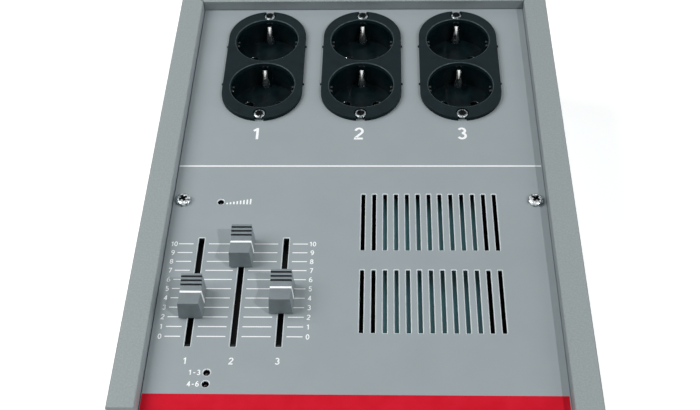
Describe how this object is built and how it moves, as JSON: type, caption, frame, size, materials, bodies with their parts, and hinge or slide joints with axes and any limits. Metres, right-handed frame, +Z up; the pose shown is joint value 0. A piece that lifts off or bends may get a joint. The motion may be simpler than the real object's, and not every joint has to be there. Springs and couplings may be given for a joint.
{
  "type": "lighting dimmer pack",
  "caption": "Steel-cased stage dimmer pack with sliding faders, double earthed mains outlets on its top panel and control sockets on its back.",
  "frame": {"origin": "centre of the overall footprint, rear cable gland included, on the surface that the feet stand on", "axes": "+X to the user's right, +Y to the back where the mains and control leads enter, +Z up out of the panel"},
  "size_m": [0.236, 0.34, 0.1046],
  "materials": {
    "case_paint": "matt textured grey enamel",
    "panel_paint": "satin grey enamel with screen print",
    "screw_zinc": "bright zinc plate",
    "foot_rubber": "matt",
    "outlet_plastic": "satin moulded",
    "earth_zinc": "nickel plate",
    "contact_brass": "plain",
    "track_steel": "tin plate",
    "slider_plastic": "moulded",
    "cap_plastic": "satin moulded",
    "light_lens": "clear tinted resin",
    "board_laminate": "solder resist",
    "ribbon_grey": "plain",
    "sink_aluminium": "extruded mill",
    "package_black": "moulded",
    "choke_winding": "enamelled wire",
    "transformer_steel": "varnished laminations",
    "terminal_green": "moulded",
    "gland_nylon": "moulded",
    "fuse_plastic": "moulded",
    "socket_zinc": "nickel plate",
    "switch_steel": "tin plate"
  },
  "bodies": {
    "case": {"case_tray": "case_paint", "front_panel": "panel_paint", "panel_screw_left": "screw_zinc", "panel_screw_right": "screw_zinc", "foot_front_left": "foot_rubber", "foot_front_right": "foot_rubber", "foot_rear_left": "foot_rubber", "foot_rear_right": "foot_rubber", "outlet_body_1": "outlet_plastic", "outlet_cover_1": "outlet_plastic", "outlet_earth_strip_1": "earth_zinc", "outlet_live_strip_1": "contact_brass", "outlet_neutral_strip_1": "contact_brass", "outlet_body_2": "outlet_plastic", "outlet_cover_2": "outlet_plastic", "outlet_earth_strip_2": "earth_zinc", "outlet_live_strip_2": "contact_brass", "outlet_neutral_strip_2": "contact_brass", "outlet_body_3": "outlet_plastic", "outlet_cover_3": "outlet_plastic", "outlet_earth_strip_3": "earth_zinc", "outlet_live_strip_3": "contact_brass", "outlet_neutral_strip_3": "contact_brass", "fader_track_1": "track_steel", "fader_track_2": "track_steel", "fader_track_3": "track_steel", "overload_light": "light_lens", "bank_light_upper": "light_lens", "bank_light_lower": "light_lens", "control_board": "board_laminate", "ribbon_cable": "ribbon_grey", "power_board": "board_laminate", "heat_sink": "sink_aluminium", "triac_1": "package_black", "triac_2": "package_black", "triac_3": "package_black", "choke_1": "choke_winding", "choke_2": "choke_winding", "choke_3": "choke_winding", "transformer": "transformer_steel", "terminal_block": "terminal_green", "cable_gland": "gland_nylon", "gland_dome_nut": "gland_nylon", "gland_lock_nut": "gland_nylon", "fuse_holder_1": "fuse_plastic", "fuse_holder_2": "fuse_plastic", "fuse_holder_3": "fuse_plastic", "fuse_carrier_1": "fuse_plastic", "fuse_carrier_2": "fuse_plastic", "fuse_carrier_3": "fuse_plastic", "control_socket_in": "socket_zinc", "control_socket_through": "socket_zinc", "bank_switch_body": "switch_steel"},
    "fader_1": {"fader_carriage_1": "slider_plastic", "fader_cap_1": "cap_plastic"},
    "fader_2": {"fader_carriage_2": "slider_plastic", "fader_cap_2": "cap_plastic"},
    "fader_3": {"fader_carriage_3": "slider_plastic", "fader_cap_3": "cap_plastic"},
    "bank_switch": {"bank_switch_slider": "slider_plastic"}
  },
  "joints": [
    {"name": "fader_1_slide", "type": "slide", "parent": "case", "child": "fader_1", "axis": [0, 1, 0], "range_m": [-0.0204, 0.0396]},
    {"name": "fader_2_slide", "type": "slide", "parent": "case", "child": "fader_2", "axis": [0, 1, 0], "range_m": [-0.0534, 0.0066]},
    {"name": "fader_3_slide", "type": "slide", "parent": "case", "child": "fader_3", "axis": [0, 1, 0], "range_m": [-0.0234, 0.0366]},
    {"name": "bank_switch_slide", "type": "slide", "parent": "case", "child": "bank_switch", "axis": [1, 0, 0], "range_m": [0, 0.003]}
  ]
}
